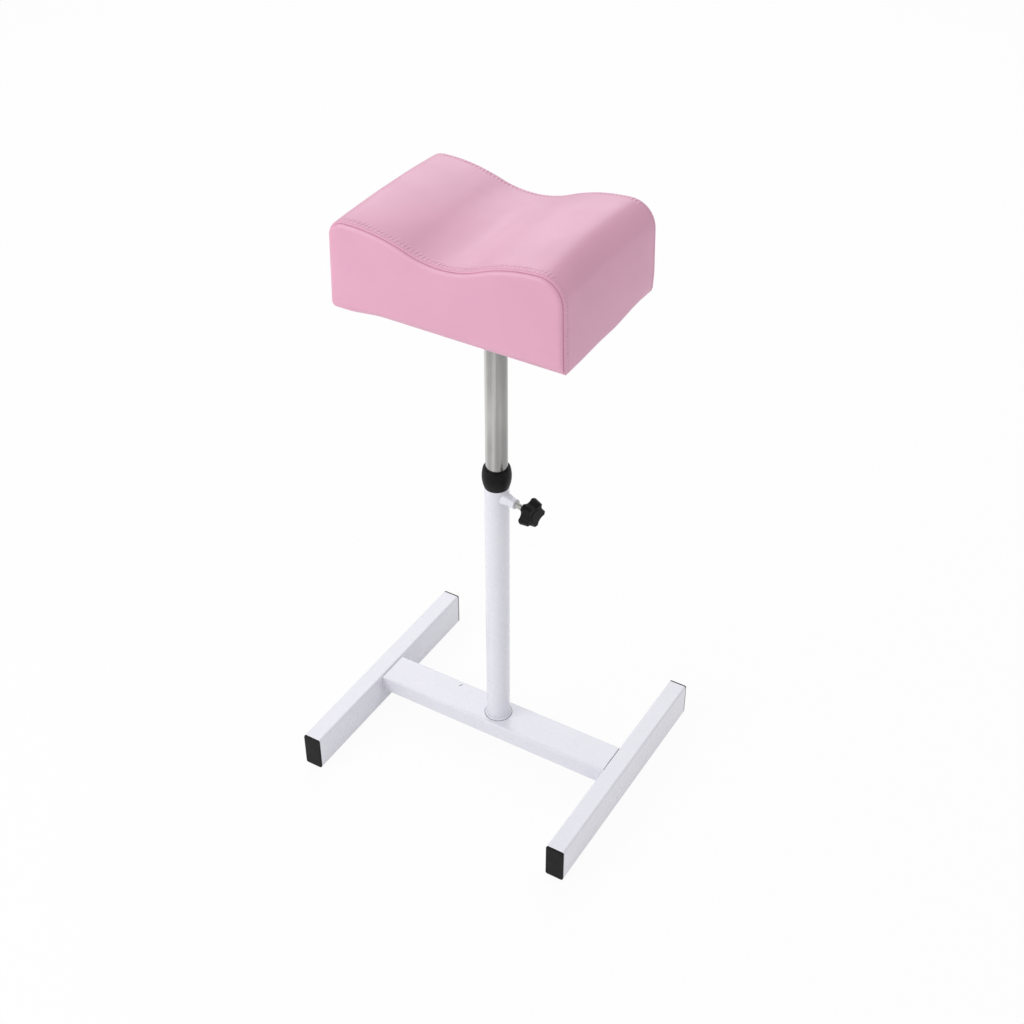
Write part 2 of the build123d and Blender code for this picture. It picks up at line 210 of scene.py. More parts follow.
colours = {row["slot"]: row["base_color"] for row in frame["record"]["materials"]}
node_slots = {row["node"]: row["material_slot"] for row in frame["record"]["subparts"]}


def solids(slot):
    """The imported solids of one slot."""
    return [frame["nodes"][name] for name, of_slot in node_slots.items() if of_slot == slot]


print("slots", sorted(colours))

# %% [markdown]
# ## Floor
#
# The photograph has a pure white ground. A lamp-lit floor would come out grey, and brighter lamps
# would wash out the pale pieces. So the floor glows to the camera, and almost as much to shiny
# surfaces, but to nothing else. A small part of it stays plain, which keeps the footrest's shadow.


# %% Floor
def mixed_shader(tree, share, first, second):
    """One shader that turns into another by a share."""
    made = node(tree, "MixShader", {"Fac": share})
    tree.links.new(first, made.node.inputs[1])
    tree.links.new(second, made.node.inputs[2])
    return made


JUST_UNDER = -0.0002
GLOW, GLOW_IN_GLOSS = 0.93, 0.85
bpy.ops.mesh.primitive_grid_add(
    x_subdivisions=8, y_subdivisions=8, size=9.0, location=(0, 0, JUST_UNDER)
)
floor = bpy.context.object
floor.name = "floor"
floor_finish, tree, sockets = finish("floor_finish", roughness=0.9)
sockets["Base Color"].default_value = (0.9, 0.9, 0.9, 1)
rays = tree.nodes.new("ShaderNodeLightPath").outputs
in_gloss = times(tree, rays["Is Glossy Ray"], GLOW_IN_GLOSS)
seen = math_node(tree, "MAXIMUM", rays["Is Camera Ray"], in_gloss)
seen = math_node(tree, "MAXIMUM", seen, rays["Is Transmission Ray"])
glow = node(tree, "Emission", {"Color": (1, 1, 1, 1), "Strength": 1.0})
plain = tree.nodes["Principled BSDF"].outputs["BSDF"]
both = mixed_shader(tree, times(tree, seen, GLOW), plain, glow)
tree.links.new(both, tree.nodes["Material Output"].inputs["Surface"])
paint([floor], floor_finish)
print("floor stands just under the rails")

# %% [markdown]
# ## Light
#
# One broad lamp stands low at the front left. One stands at the rear left, and its gloss lies as
# a veil along the saddle. The world gives the rest, brighter overhead, and shows white behind the
# floor's edge. Small hard lamps would throw sharp shadows, which the photograph doesn't have.

# %% Light
world = bpy.data.worlds.new("studio")
bpy.context.scene.world = world
world.use_nodes = True
tree = world.node_tree
MORE_TO_RIGHT, MORE_OVERHEAD, AT_SIDE = -0.04, 0.26, 0.5
ways = parts_of(tree, tree.nodes.new("ShaderNodeTexCoord").outputs["Generated"])
sideways, upward = times(tree, ways["X"], MORE_TO_RIGHT), times(tree, ways["Z"], MORE_OVERHEAD)
share = plus(tree, plus(tree, sideways, upward), AT_SIDE)
low_sky, side_sky, top_sky = (0.60, 0.60, 0.61), (0.79, 0.79, 0.80), (1.0, 1.0, 1.0)
sky = tree.nodes["Background"]
sky_colour = ramp(tree, share, (0.1, low_sky), (0.45, side_sky), (0.95, top_sky))
tree.links.new(sky_colour, sky.inputs["Color"])
sky.inputs["Strength"].default_value = 0.82
backdrop = node(tree, "Background", {"Color": (1, 1, 1, 1), "Strength": 1.0})
to_camera = tree.nodes.new("ShaderNodeLightPath").outputs["Is Camera Ray"]
both = mixed_shader(tree, to_camera, sky.outputs[0], backdrop)
tree.links.new(both, tree.nodes["World Output"].inputs["Surface"])


def lamp(name, place_at, aim_at, size, power):
    """A square soft lamp, its size in metres and its power in watts."""
    data = bpy.data.lights.new(name, "AREA")
    data.shape = "SQUARE"
    data.size = size
    data.energy = power
    made = bpy.data.objects.new(name, data)
    bpy.context.collection.objects.link(made)
    made.location = place_at
    made.rotation_mode = "QUATERNION"
    made.rotation_quaternion = (Vector(aim_at) - Vector(place_at)).to_track_quat("-Z", "Y")


lamp("key_lamp", (-0.8, -1.2, 1.0), (0, 0, 0.2), 1.0, 8.0)
lamp("rear_lamp", (-1.15, 1.82, 1.75), (0, 0, 0.6), 1.6, 12.6)

# %% [markdown]
# ## White powder coat
#
# The base and the post are steel tube under a glossy powder coat, faintly blue. The powder melts
# to a slight orange peel, a couple of millimetres across, and floors and shoes dull it in places.
# One even colour would look like plastic, so slow noise drifts the shade and the gloss a little.

# %% White powder coat
FAINT_BLUE = (0.962, 0.958, 1.0)
WHITE = [c * tint for c, tint in zip(colours["white_powder_coat"], FAINT_BLUE)]


def powder_coat(name):
    """The glossy white finish."""
    material, tree, sockets = finish(name, Coat_Weight=0.25, Coat_Roughness=0.12)
    shades = mottle(tree, WHITE, noise(tree, 28, 4.0), 0.985, 1.01)
    dulled = spread(tree, noise(tree, 45, 3.0), 0.25, 0.3)
    peel = bump(tree, noise(tree, 360, 2.0), 0.00003, 0.25)
    dress(tree, sockets, shades, dulled, peel)
    return material, tree, sockets


powder, tree, sockets = powder_coat("white_powder_coat")
paint(solids("white_powder_coat"), powder)
print("powder coat on", len(solids("white_powder_coat")), "solids")

# %% [markdown]
# ## Chipped paint and painted shade in the crevices of the crossbar
#
# The crossbar's top has a short dark nick to the left of the post, where the coat has a chip down
# to the steel. The crack along the right rail, where there is no weld on top, gets a dark painted
# shade. So does the crease at the edge of the post's weld on the bar. The finer crack at the left
# rail gets a grey painted shade. A chip is only a tenth of a millimetre deep, so colour shows it as
# well as a cut would. Each mark is a mask: a stretched ball, two planes, and a ring round the post,
# all made ragged.

# %% Chipped paint and painted shade in the crevices of the crossbar
NICK, NICK_TURN, NICK_REACH = (-0.0572, 0.0135, 0.0385), math.radians(-62), (0.003, 0.0007, 0.002)
# Bare steel for the nick. The other colours are painted shade for the cracks at the rails and for
# the crease round the post's weld.
STEEL, RIGHT_CRACK_SHADE, LEFT_CRACK_SHADE = (0.16, 0.14, 0.14), (0.07, 0.07, 0.08), (0.42, 0.42, 0.45)
WELD_TOE_SHADE = (0.2, 0.2, 0.22)
BAR_FACE, BAR_HALF, RIGHT_END, LEFT_END = 0.0372, 0.0178, 0.1393, -0.1394
TOE_RADIUS, TOE_HALF, RAGGED = 0.0149, 0.0003, 0.00035


def over(tree, mask, below, colour):
    """A colour laid over another one where a mask is 1."""
    return node(tree, "MixRGB", {"Fac": mask, "Color1": below, "Color2": (*colour, 1)})


chipped_and_shaded, tree, sockets = powder_coat("white_powder_coat_chip_and_painted_shade")
turned = (
    NICK[0] * math.cos(NICK_TURN) - NICK[1] * math.sin(NICK_TURN),
    NICK[0] * math.sin(NICK_TURN) + NICK[1] * math.cos(NICK_TURN),
    NICK[2],
)
near = place(tree, turn=(0, 0, NICK_TURN), shift=[-v for v in turned])
near = node(tree, "Mapping", {"Vector": near, "Scale": [1 / v for v in NICK_REACH]})
reach = node(tree, "VectorMath", {0: near}, operation="LENGTH").node.outputs["Value"]
ragged = plus(tree, reach, spread(tree, noise(tree, 1400, 3.0), -0.5, 0.5))
bare = ramp(tree, ragged, (0.75, (1, 1, 1)), (1.05, (0, 0, 0)))

spots = parts_of(tree, place(tree))
waver = spread(tree, noise(tree, 190, 3.0), -RAGGED, RAGGED)
along_bar = plus(tree, spots["X"], waver)
on_face = math_node(tree, "GREATER_THAN", spots["Z"], BAR_FACE)
off_edge = math_node(tree, "LESS_THAN", math_node(tree, "ABSOLUTE", spots["Y"]), BAR_HALF)
on_top = times(tree, on_face, off_edge)
# Masks of the painted shade in the cracks at the right and left rail.
right_crack_shade = times(tree, math_node(tree, "GREATER_THAN", along_bar, RIGHT_END), on_top)
left_crack_shade = times(tree, math_node(tree, "LESS_THAN", along_bar, LEFT_END), on_top)
squares = [math_node(tree, "POWER", spots[axis], 2.0) for axis in "XY"]
from_post = math_node(tree, "SQRT", plus(tree, *squares))
# Mask of the painted shade in the crease round the post's weld.
weld_toe_shade_mask = math_node(tree, "COMPARE", plus(tree, from_post, waver), TOE_RADIUS)
weld_toe_shade_mask.node.inputs[2].default_value = TOE_HALF

nick_and_painted_shade = over(tree, bare, sockets["Base Color"].links[0].from_socket, STEEL)
# The painted shade of the cracks and of the crease is laid over the nick.
nick_and_painted_shade = over(tree, right_crack_shade, nick_and_painted_shade, RIGHT_CRACK_SHADE)
nick_and_painted_shade = over(tree, left_crack_shade, nick_and_painted_shade, LEFT_CRACK_SHADE)
nick_and_painted_shade = over(tree, times(tree, weld_toe_shade_mask, on_top), nick_and_painted_shade, WELD_TOE_SHADE)
tree.links.new(nick_and_painted_shade, sockets["Base Color"])
paint([frame["nodes"]["cross_bar"]], chipped_and_shaded)
print("nick at", NICK)

# %% [markdown]
# ## Moulded black plastic
#
# The end caps, the collar, the knob and the foot plug are moulded in black plastic with a fine
# spark-eroded texture. The grains are half a millimetre across and would be too many to model,
# so they are surface relief. Hands polish the plastic a little, so its roughness drifts.

# %% Moulded black plastic
plastic, tree, sockets = finish("black_plastic", Specular_IOR_Level=0.1)
dress(
    tree, sockets,
    mottle(tree, colours["black_plastic"], noise(tree, 90, 3.0), 0.2, 0.45),
    spread(tree, noise(tree, 45, 3.0), 0.34, 0.52),
    bump(tree, noise(tree, 1900, 2.0), 0.00005, 0.7),
)
paint(solids("black_plastic"), plastic)
print("plastic on", len(solids("black_plastic")), "solids")

# %% [markdown]
# ## Chromed tube
#
# The tube is drawn, polished along its length and plated, with a few fine scuffs where it slides in
# the collar. A perfect mirror would show only the empty white studio, while the real tube shows
# grey stripes of reflection. So painted reflection stands in for them: the plating's own colour
# darkens and lightens round the tube and hardly along it, and the same pattern drifts its
# roughness.

# %% Chromed tube
CHROME = colours["chrome_tube"]
ROUND_TO_BAND = (1.56, 0.84, 0)
chrome, tree, sockets = finish("chrome_tube", metallic=1.0)
# Painted reflection: stripes round the tube and slow patches that darken and lighten the plating's
# colour.
painted_reflection_stripes = noise(tree, 110, 3.0, place(tree, stretch=(1, 1, 0.012), shift=ROUND_TO_BAND))
painted_reflection_patches = noise(tree, 30, 4.0, place(tree, stretch=(1, 1, 0.35), shift=ROUND_TO_BAND))
painted_reflection_mix = plus(tree, times(tree, painted_reflection_stripes, 0.72), times(tree, painted_reflection_patches, 0.28))
scratch = noise(tree, 1500, 2.0, place(tree, stretch=(1, 1, 0.02)))
# Shades of the painted reflection.
steps = (0.4, shade(CHROME, 0.40)), (0.5, shade(CHROME, 0.53)), (0.6, shade(CHROME, 0.84))
dress(
    tree, sockets,
    ramp(tree, painted_reflection_mix, *steps),
    spread(tree, painted_reflection_mix, 0.30, 0.16),
    bump(tree, scratch, 0.00002, 0.5),
)
paint(solids("chrome_tube"), chrome)
print("chrome on", [piece.name for piece in solids("chrome_tube")])

# %% [markdown]
# ## Zinc, brass and black paint
#
# The screws, washers and tee nuts are zinc plated, which has a mottled blue-grey bloom, here in
# cells like its crystals. The clamp pad is turned brass. The seat plate under the cushion wears a
# plain satin black paint. None of them is prominent, so each is one small graph of noise.

# %% Zinc, brass and black paint
ZINC = colours["plated_steel"]
zinc, tree, sockets = finish("plated_steel", metallic=1.0)
bloom = node(tree, "TexVoronoi", {"Vector": place(tree), "Scale": 700.0})
dress(
    tree, sockets,
    ramp(tree, bloom, (0.0, shade(ZINC, 0.82)), (0.8, shade(ZINC, 1.12))),
    spread(tree, noise(tree, 500, 3.0), 0.24, 0.45),
    bump(tree, noise(tree, 1600), 0.00002, 0.5),
)
paint(solids("plated_steel"), zinc)

brass, tree, sockets = finish("brass_pad", metallic=1.0)
dress(
    tree, sockets,
    mottle(tree, colours["brass_pad"], noise(tree, 300, 3.0), 0.8, 1.1),
    spread(tree, noise(tree, 800, 2.0), 0.25, 0.4),
    bump(tree, noise(tree, 2500), 0.00002, 0.4),
)
paint(solids("brass_pad"), brass)

satin, tree, sockets = finish("black_paint")
dress(
    tree, sockets,
    mottle(tree, colours["black_paint"], noise(tree, 70, 4.0), 0.8, 1.25),
    spread(tree, noise(tree, 120, 3.0), 0.38, 0.55),
    bump(tree, noise(tree, 700), 0.00005, 0.5),
)
paint(solids("black_paint"), satin)
small_slots = ("plated_steel", "brass_pad", "black_paint")
print("zinc, brass and paint on", [len(solids(slot)) for slot in small_slots])

# %% [markdown]
# ## Plywood board
#
# The board inside the cushion is raw plywood. Thin plies run level, alternately light and dark on
# the sawn edge, and long grain shows on its faces, so the pattern is a stretched noise plus a
# wave along the height.

# %% Plywood board
WOOD = colours["plywood"]
wood, tree, sockets = finish("plywood", roughness=0.7)
grain = noise(tree, 220, 5.0, place(tree, stretch=(0.06, 1, 1)))
settings = {"Vector": place(tree), "Scale": 105.0, "Distortion": 1.0, "Detail": 1.0}
ply = node(tree, "TexWave", settings, bands_direction="Z")
layers = plus(tree, times(tree, grain, 0.7), times(tree, ply, 0.3))
dress(
    tree, sockets,
    ramp(tree, layers, (0.25, shade(WOOD, 0.7)), (0.55, WOOD), (0.8, shade(WOOD, 1.2))),
    spread(tree, grain, 0.6, 0.8),
    bump(tree, layers, 0.0002, 0.6),
)
print("plywood ready")

# %% [markdown]
# ## Planed edges of the board
#
# The board's lower front and right edges are planed off in three flats each, and the cover is
# drawn up round them. A rounded edge could be modelled afresh, but a copy of the solid that is cut
# by six planes keeps the board's own outline and holes.

# %% Planed edges of the board
FRONT_FACE, RIGHT_FACE, BOARD_FOOT = -87.1, 118.2, 554.0
PLANED_ROUND, COVER_GAP = 13.7, 1.7


def planed_board():
    """A copy of the board, its lower front and right edges cut to flats that follow a round."""
    mesh = frame["nodes"]["cushion_board"].data.copy()
    shaped = bmesh.new()
    shaped.from_mesh(mesh)
    bmesh.ops.remove_doubles(shaped, verts=shaped.verts, dist=1e-7)
    front_centre = Vector((0, FRONT_FACE + PLANED_ROUND, BOARD_FOOT + PLANED_ROUND))
    right_centre = Vector((RIGHT_FACE - PLANED_ROUND, 0, BOARD_FOOT + PLANED_ROUND))
    for angle in (22.5, 45.0, 67.5):
        out, down = math.cos(math.radians(angle)), math.sin(math.radians(angle))
        for way, centre in (((0, -out, -down), front_centre), ((out, 0, -down), right_centre)):
            everything = shaped.verts[:] + shaped.edges[:] + shaped.faces[:]
            cut_at = (centre + Vector(way) * (PLANED_ROUND - COVER_GAP)) * MM
            bmesh.ops.bisect_plane(
                shaped, geom=everything, plane_co=cut_at, plane_no=way, clear_outer=True
            )
            open_edges = [edge for edge in shaped.edges if edge.is_boundary]
            bmesh.ops.holes_fill(shaped, edges=open_edges, sides=0)
    bmesh.ops.recalc_face_normals(shaped, faces=shaped.faces)
    print("open edges on the board:", sum(edge.is_boundary for edge in shaped.edges))
    shaped.to_mesh(mesh)
    shaped.free()
    board = bpy.data.objects.new("board_planed", mesh)
    bpy.context.collection.objects.link(board)
    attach(board, "lift")
    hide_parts("cushion_board")
    return board


paint([planed_board()], wood)

# %% [markdown]
# ## Outline of the cushion
#
# The cushion is a foam block with a wavy saddle top: a hump over each end and a valley between.
# Its outline is the one that the solids have: a foot arc, a leaning end wall, a shoulder, a crest
# arc and a valley arc. In the photograph the left shoulder is drawn tighter than the right one,
# so it has its own round here. Arcs and lines give the same curve at any number of points, which
# a hand-drawn profile wouldn't.

# %% Outline of the cushion
LENGTH, DEPTH, HEIGHT = 238.7, 164.6, 93.0
FOOT = 647.0 - HEIGHT
DIP, CROWN, WAIST = 18.8, 3.5, 1.2
RIGHT_SHOULDER, LEFT_SHOULDER = 23.5, 16.5
FOOT_ARC, VALLEY_SHARE = 5.5, 0.365
COVER, HEM = 1.2, 22.0
LEAN = math.radians(2.0)


def arc(centre, radius, start, end, count):
    """Points of an arc, without its first one."""
    steps = [start + (end - start) * (k + 1) / count for k in range(count)]
    return [(centre[0] + radius * math.cos(a), centre[1] + radius * math.sin(a)) for a in steps]


def line(start, end, count):
    """Points of a straight run, without its first one."""
    return [tuple(s + (e - s) * (k + 1) / count for s, e in zip(start, end)) for k in range(count)]


def half_outline(bow, skin, counts, shoulder):
    """Half of the section, from the middle of the underside round to the middle of the top."""
    half = LENGTH / 2 - COVER + skin - WAIST * bow
    foot = FOOT + COVER - skin
    crest = FOOT + HEIGHT - COVER + skin - CROWN * (1 - bow)
    foot_radius, shoulder = FOOT_ARC + skin, shoulder + skin
    foot_centre = (half - foot_radius, foot + foot_radius)
    wall_foot = arc(foot_centre, foot_radius, 0, LEAN, 1)[0]
    wall_top_z = crest - shoulder * (1 - math.sin(LEAN))
    wall_top = (wall_foot[0] - (wall_top_z - wall_foot[1]) * math.tan(LEAN), wall_top_z)
    crest_x = wall_top[0] - shoulder * math.cos(LEAN)
    arc_sum = (crest_x**2 + DIP**2) / (2 * DIP)
    share = VALLEY_SHARE + skin / arc_sum
    valley, hump = share * arc_sum, (1 - share) * arc_sum
    up, bend = math.pi / 2, math.asin(crest_x / arc_sum)
    edge = (LENGTH / 2 - HEM, foot)
    points = [(0.0, foot)]
    points += line((0.0, foot), edge, counts[0])
    points += line(edge, (foot_centre[0], foot), counts[1])
    points += arc(foot_centre, foot_radius, -up, LEAN, counts[2])
    points += line(wall_foot, wall_top, counts[3])
    points += arc((crest_x, crest - shoulder), shoulder, LEAN, up, counts[4])
    points += arc((crest_x, crest - hump), hump, up, up + bend, counts[5])
    points += arc((0.0, crest - DIP + valley), valley, bend - up, -up, counts[6])
    return points


def loop(bow, skin, counts):
    """The whole section, from the underside's middle round the right end, over the top and back."""
    right = half_outline(bow, skin, counts, RIGHT_SHOULDER)
    left = half_outline(bow, skin, counts, LEFT_SHOULDER)
    return right + [(-x, z) for x, z in left[-2:0:-1]]


fine_counts = (26, 8, 6, 16, 10, 18, 16)
section = np.array(loop(1.0, COVER, fine_counts))
print("section:", len(section), "points,", np.round(np.ptp(section, axis=0), 1), "mm across")

# %% [markdown]
# ## Mesh of the cushion
#
# The outline is swept from front to back and pulled in round the two seams. The front and the
# back face are filled with a grid that blends their four sides. A solid could be meshed instead,
# but its triangles would run anywhere, and cloth and seams need rows of even quads.

# %% Mesh of the cushion
EDGE, SEAM_BACK = 5.7, 2.2
seam_turn = math.asin((EDGE - SEAM_BACK) / EDGE)
seam_run = EDGE * (math.pi / 2 - seam_turn)


def row_places(near_seam, middle, skin):
    """Rows from front to back as (y, inset): those at their runs from the seam, and the middle."""
    rows = []
    edge = EDGE - COVER + skin
    for run in near_seam:
        angle = max(0.0, seam_turn - run / EDGE)
        flat_run = max(0.0, run - EDGE * seam_turn)
        y = -(DEPTH / 2 - EDGE) - edge * math.sin(angle) + flat_run
        rows.append((y, edge * (1 - math.cos(angle))))
    rows += [(y, 0.0) for y in middle if y < 0]
    return rows + [(0.0, 0.0)] + [(-y, inset) for y, inset in reversed(rows)]


def end_grid(vertices, places, start, around, counts):
    """The grid of vertex numbers of one end face, whose inner vertices are added to the lists."""
    flat, side = counts[0] + counts[1], counts[2] + counts[3] + counts[4]
    wide = 2 * flat
    grid = {}
    for i in range(wide + 1):
        grid[i, 0] = start + (i - flat) % around
        grid[i, side] = start + (flat + side + wide - i)
    for j in range(side + 1):
        grid[wide, j] = start + flat + j
        grid[0, j] = start + (around - flat - j) % around
    corner = [np.array(vertices[grid[key]]) for key in ((0, 0), (wide, 0), (0, side), (wide, side))]
    foot_z, top_z = corner[0][2], corner[2][2]
    for i in range(1, wide):
        for j in range(1, side):
            edges = (grid[0, j], grid[wide, j], grid[i, 0], grid[i, side])
            west, east, south, north = (np.array(vertices[k]) for k in edges)
            v = (west[2] - foot_z) / (top_z - foot_z)
            u = 0.5 + (1 - v) * south[0] / (2 * corner[1][0]) + v * north[0] / (2 * corner[3][0])
            point = (1 - u) * west + u * east + (1 - v) * south + v * north
            point -= (1 - u) * (1 - v) * corner[0] + u * (1 - v) * corner[1]
            point -= (1 - u) * v * corner[2] + u * v * corner[3]
            grid[i, j] = len(vertices)
            vertices.append(tuple(point))
            places.append(None)
    return grid, wide, side


def cushion_form(counts, near_seam, middle, skin=COVER):
    """Vertices in mm, quads, the (row, step) of each vertex or None on an end face, and rows."""
    rows = row_places(near_seam, middle, skin)
    vertices, places = [], []
    for index, (y, inset) in enumerate(rows):
        ring = loop(1 - (y / (DEPTH / 2)) ** 2, skin - inset, counts)
        vertices += [(x, y, z) for x, z in ring]
        places += [(index, step) for step in range(len(ring))]
    around = len(ring)
    quads = []
    for row in range(len(rows) - 1):
        a, b = row * around, (row + 1) * around
        for step in range(around):
            after = (step + 1) % around
            quads.append((a + step, b + step, b + after, a + after))
    for row, way in ((0, 1), (len(rows) - 1, -1)):
        grid, wide, side = end_grid(vertices, places, row * around, around, counts)
        for i in range(wide):
            for j in range(side):
                quad = (grid[i, j], grid[i + 1, j], grid[i + 1, j + 1], grid[i, j + 1])
                quads.append(quad[::way])
    return np.array(vertices), quads, places, rows


STITCH = 4.9
fine_seam = (
    -seam_run, -4.2, -3.2, -2.2, -1.4, -0.8, -0.35, 0, 0.35, 0.8, 1.4,
    2.2, 3.0, 3.8, 4.4, STITCH, 5.4, 6.2, 7.6, 9.4, 11.8, 15.0,
)
fine_middle = (-(DEPTH / 2 - HEM), -52.0, -44.0, -36.0, -28.0, -20.0, -13.0, -6.5)
vertices, quads, places, rows = cushion_form(fine_counts, fine_seam, fine_middle)
around = 2 * sum(fine_counts)
print("cushion mesh:", len(vertices), "points,", len(rows), "rows of", around)

# %% [markdown]
# ## Foot of the cover
#
# The picture shows the cover drawn up round the board's planed edges: along the front, but hardly
# at the left corner, and at the back of the right end. Each point near those edges is moved in
# onto a rounder foot, which grows along the edge. Pulling it by a cloth run would need the staples
# and the maker's hand in it, and wouldn't come out as in the picture.

# %% Foot of the cover
FRONT_GROWTH, FRONT_FROM, FRONT_OVER = 8.0, -104, 40
RIGHT_ROUND, RIGHT_GROWTH, RIGHT_FROM, RIGHT_OVER = EDGE + COVER - 0.2, 7.0, 5, 55


def eased(value):
    """A smooth step from 0 to 1."""
    value = np.clip(value, 0.0, 1.0)
    return value * value * (3 - 2 * value)


def drawn_in(deep, high, radius):
    """How deep and how high a point lies once it is moved in onto a round edge."""
    far = math.hypot(deep - radius, high - radius)
    if deep < radius and high < radius and far > radius:
        return radius + (deep - radius) * radius / far, radius + (high - radius) * radius / far
    return deep, high


def drawn_up(point):
    """A point of the form, with its front foot and the back of its right foot drawn up."""
    x, y, z = point
    from_front = y + DEPTH / 2
    front_round = EDGE + FRONT_GROWTH * eased((x - FRONT_FROM) / FRONT_OVER)
    deep, high = drawn_in(from_front, z - FOOT, front_round)
    y += deep - from_front
    from_right = LENGTH / 2 - WAIST * (1 - (y / (DEPTH / 2)) ** 2) - x
    right_round = RIGHT_ROUND + RIGHT_GROWTH * eased((y - RIGHT_FROM) / RIGHT_OVER)
    deep, high = drawn_in(from_right, high, right_round)
    return x + from_right - deep, y, FOOT + high


drawn = np.array([drawn_up(point) for point in vertices])
print("the foot is drawn in by up to", round(float(abs(drawn - vertices).max()), 2), "mm")

# %% [markdown]
# ## Padding of the cover
#
# The cover is sewn a little tight over foam, which pushes it out between its seams and its hem. A
# coarse copy of the form is blown up slightly as cloth, held along the seams, at its foot and
# underneath. Sculpting the swell by hand would be quicker to run, but a cloth run knows by itself
# that a broad panel swells more than one near a seam.

# %% Padding of the cover
coarse_counts = (7, 2, 2, 7, 4, 5, 4)
coarse_seam = (-seam_run, 0, STITCH, 11.0)
coarse_middle = (-(DEPTH / 2 - HEM), -48.0, -36.0, -24.0, -12.0)
HELD_BELOW, PRESSURE, CLOTH_FRAMES, MOST_SWELL = 4.0, 4.0, 20, 2.4


def mesh_piece(name, points, faces, slot, body="lift"):
    """A smooth mesh piece in the shared frame, from points in mm, that rides on a body."""
    mesh = bpy.data.meshes.new(name)
    mesh.from_pydata((np.asarray(points) * MM).tolist(), [], faces)
    mesh.validate()
    mesh.polygons.foreach_set("use_smooth", [True] * len(mesh.polygons))
    piece = bpy.data.objects.new(name, mesh)
    bpy.context.collection.objects.link(piece)
    if slot:
        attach(piece, body)
    return piece


def padding(counts, near_seam, middle):
    """The coarse form's points, faces and movement under a light pressure."""
    points, faces, spots, trial_rows = cushion_form(counts, near_seam, middle)
    pad = mesh_piece("padding_trial", points, faces, None)
    seams = (near_seam.index(0), len(trial_rows) - 1 - near_seam.index(0))
    held = [
        k for k, (point, spot) in enumerate(zip(points, spots))
        if point[2] < FOOT + HELD_BELOW or (spot is not None and spot[0] in seams)
    ]
    pad.vertex_groups.new(name="held").add(held, 1.0, "REPLACE")
    cloth = pad.modifiers.new("cloth", "CLOTH").settings
    cloth.use_pressure = True
    cloth.uniform_pressure_force = PRESSURE
    cloth.effector_weights.gravity = 0.0
    cloth.vertex_group_mass = "held"
    cloth.quality = 6
    scene = bpy.context.scene
    for frame_number in range(1, CLOTH_FRAMES + 1):
        scene.frame_set(frame_number)
    shown = pad.evaluated_get(bpy.context.evaluated_depsgraph_get()).to_mesh()
    moved = np.array([v.co for v in shown.vertices]) / MM
    scene.frame_set(1)
    bpy.data.objects.remove(pad)
    return points, faces, moved - points


coarse, coarse_faces, moves = padding(coarse_counts, coarse_seam, coarse_middle)
sizes = np.linalg.norm(moves, axis=1)
moves *= (np.minimum(sizes, MOST_SWELL) / np.maximum(sizes, 1e-9))[:, None]
print("padding moves up to", round(float(sizes.max()), 2), "mm, kept to", MOST_SWELL)

# %% [markdown]
# ## Carrying the padding over
#
# Each point of the fine mesh takes the movement of the nearest spot on the coarse one. Only the
# part that points outward is kept, so the cover never cuts into the foam. It is then evened out
# with its neighbours, since the coarse faces would show through, while the seams and the
# underside stay where they are. Cloth on the fine mesh itself would take far longer.


# %% Carrying the padding over
def normals(points, faces):
    """Outward unit normals at the points."""
    made = np.zeros_like(points)
    corners = points[np.array(faces)]
    face_normal = np.cross(corners[:, 2] - corners[:, 0], corners[:, 3] - corners[:, 1])
    for k in range(4):
        np.add.at(made, np.array(faces)[:, k], face_normal)
    return made / np.maximum(np.linalg.norm(made, axis=1), 1e-9)[:, None]


def evened(field, held_at, rounds):
    """A value at each point of the mesh, evened out with its neighbours but for the held points."""
    ends = np.array(quads)
    first, second = ends.ravel(), np.roll(ends, -1, axis=1).ravel()
    size = len(field)
    count = np.bincount(first, minlength=size) + np.bincount(second, minlength=size)
    for _ in range(rounds):
        nearby = np.bincount(first, field[second], size) + np.bincount(second, field[first], size)
        field = np.where(held_at, field, 0.5 * field + 0.5 * nearby / count)
    return field


UNDERSIDE, EVENING_ROUNDS = FOOT + 0.5, 40
seam_row = fine_seam.index(0)
seam_rows = (seam_row, len(rows) - 1 - seam_row)
shape = drawn.copy()
outward = normals(shape, quads)
if ((shape - shape.mean(axis=0)) * outward).sum() < 0:
    quads = [quad[::-1] for quad in quads]
    outward = -outward
coarse_surface = BVHTree.FromPolygons([Vector(p) for p in coarse], coarse_faces)
swell = np.zeros(len(vertices))
for k, point in enumerate(vertices):
    spot, _, face, _ = coarse_surface.find_nearest(Vector(point))
    corners = coarse_faces[face]
    weights = poly_3d_calc([Vector(coarse[c]) for c in corners], spot)
    push = sum((w * moves[c] for w, c in zip(weights, corners)), np.zeros(3))
    swell[k] = max(0.0, float(push @ outward[k]))
on_seam = np.array([place is not None and place[0] in seam_rows for place in places])
still = (vertices[:, 2] < UNDERSIDE) | on_seam
swell = evened(np.where(still, 0.0, swell), still, EVENING_ROUNDS)
shape += outward * swell[:, None]
print("the padding swells by up to", round(float(swell.max()), 2), "mm")

# %% [markdown]
# ## Seams, waves and lean
#
# The panels meet the band in a plain seam that pulls the surface in by a millimetre, with a low
# ridge beside it, and the topstitching five millimetres away sinks in a little too. Small waves
# spread from the foot, where the leather is pulled round the board and stapled, and underneath
# they stay above the dust cloth. The foam is a little fuller at the back of the right end, and
# the whole cushion leans by about one degree, its right end the higher, as in the picture. All of
# it is real form and not surface relief, so that it shows on the cushion's outline as well.

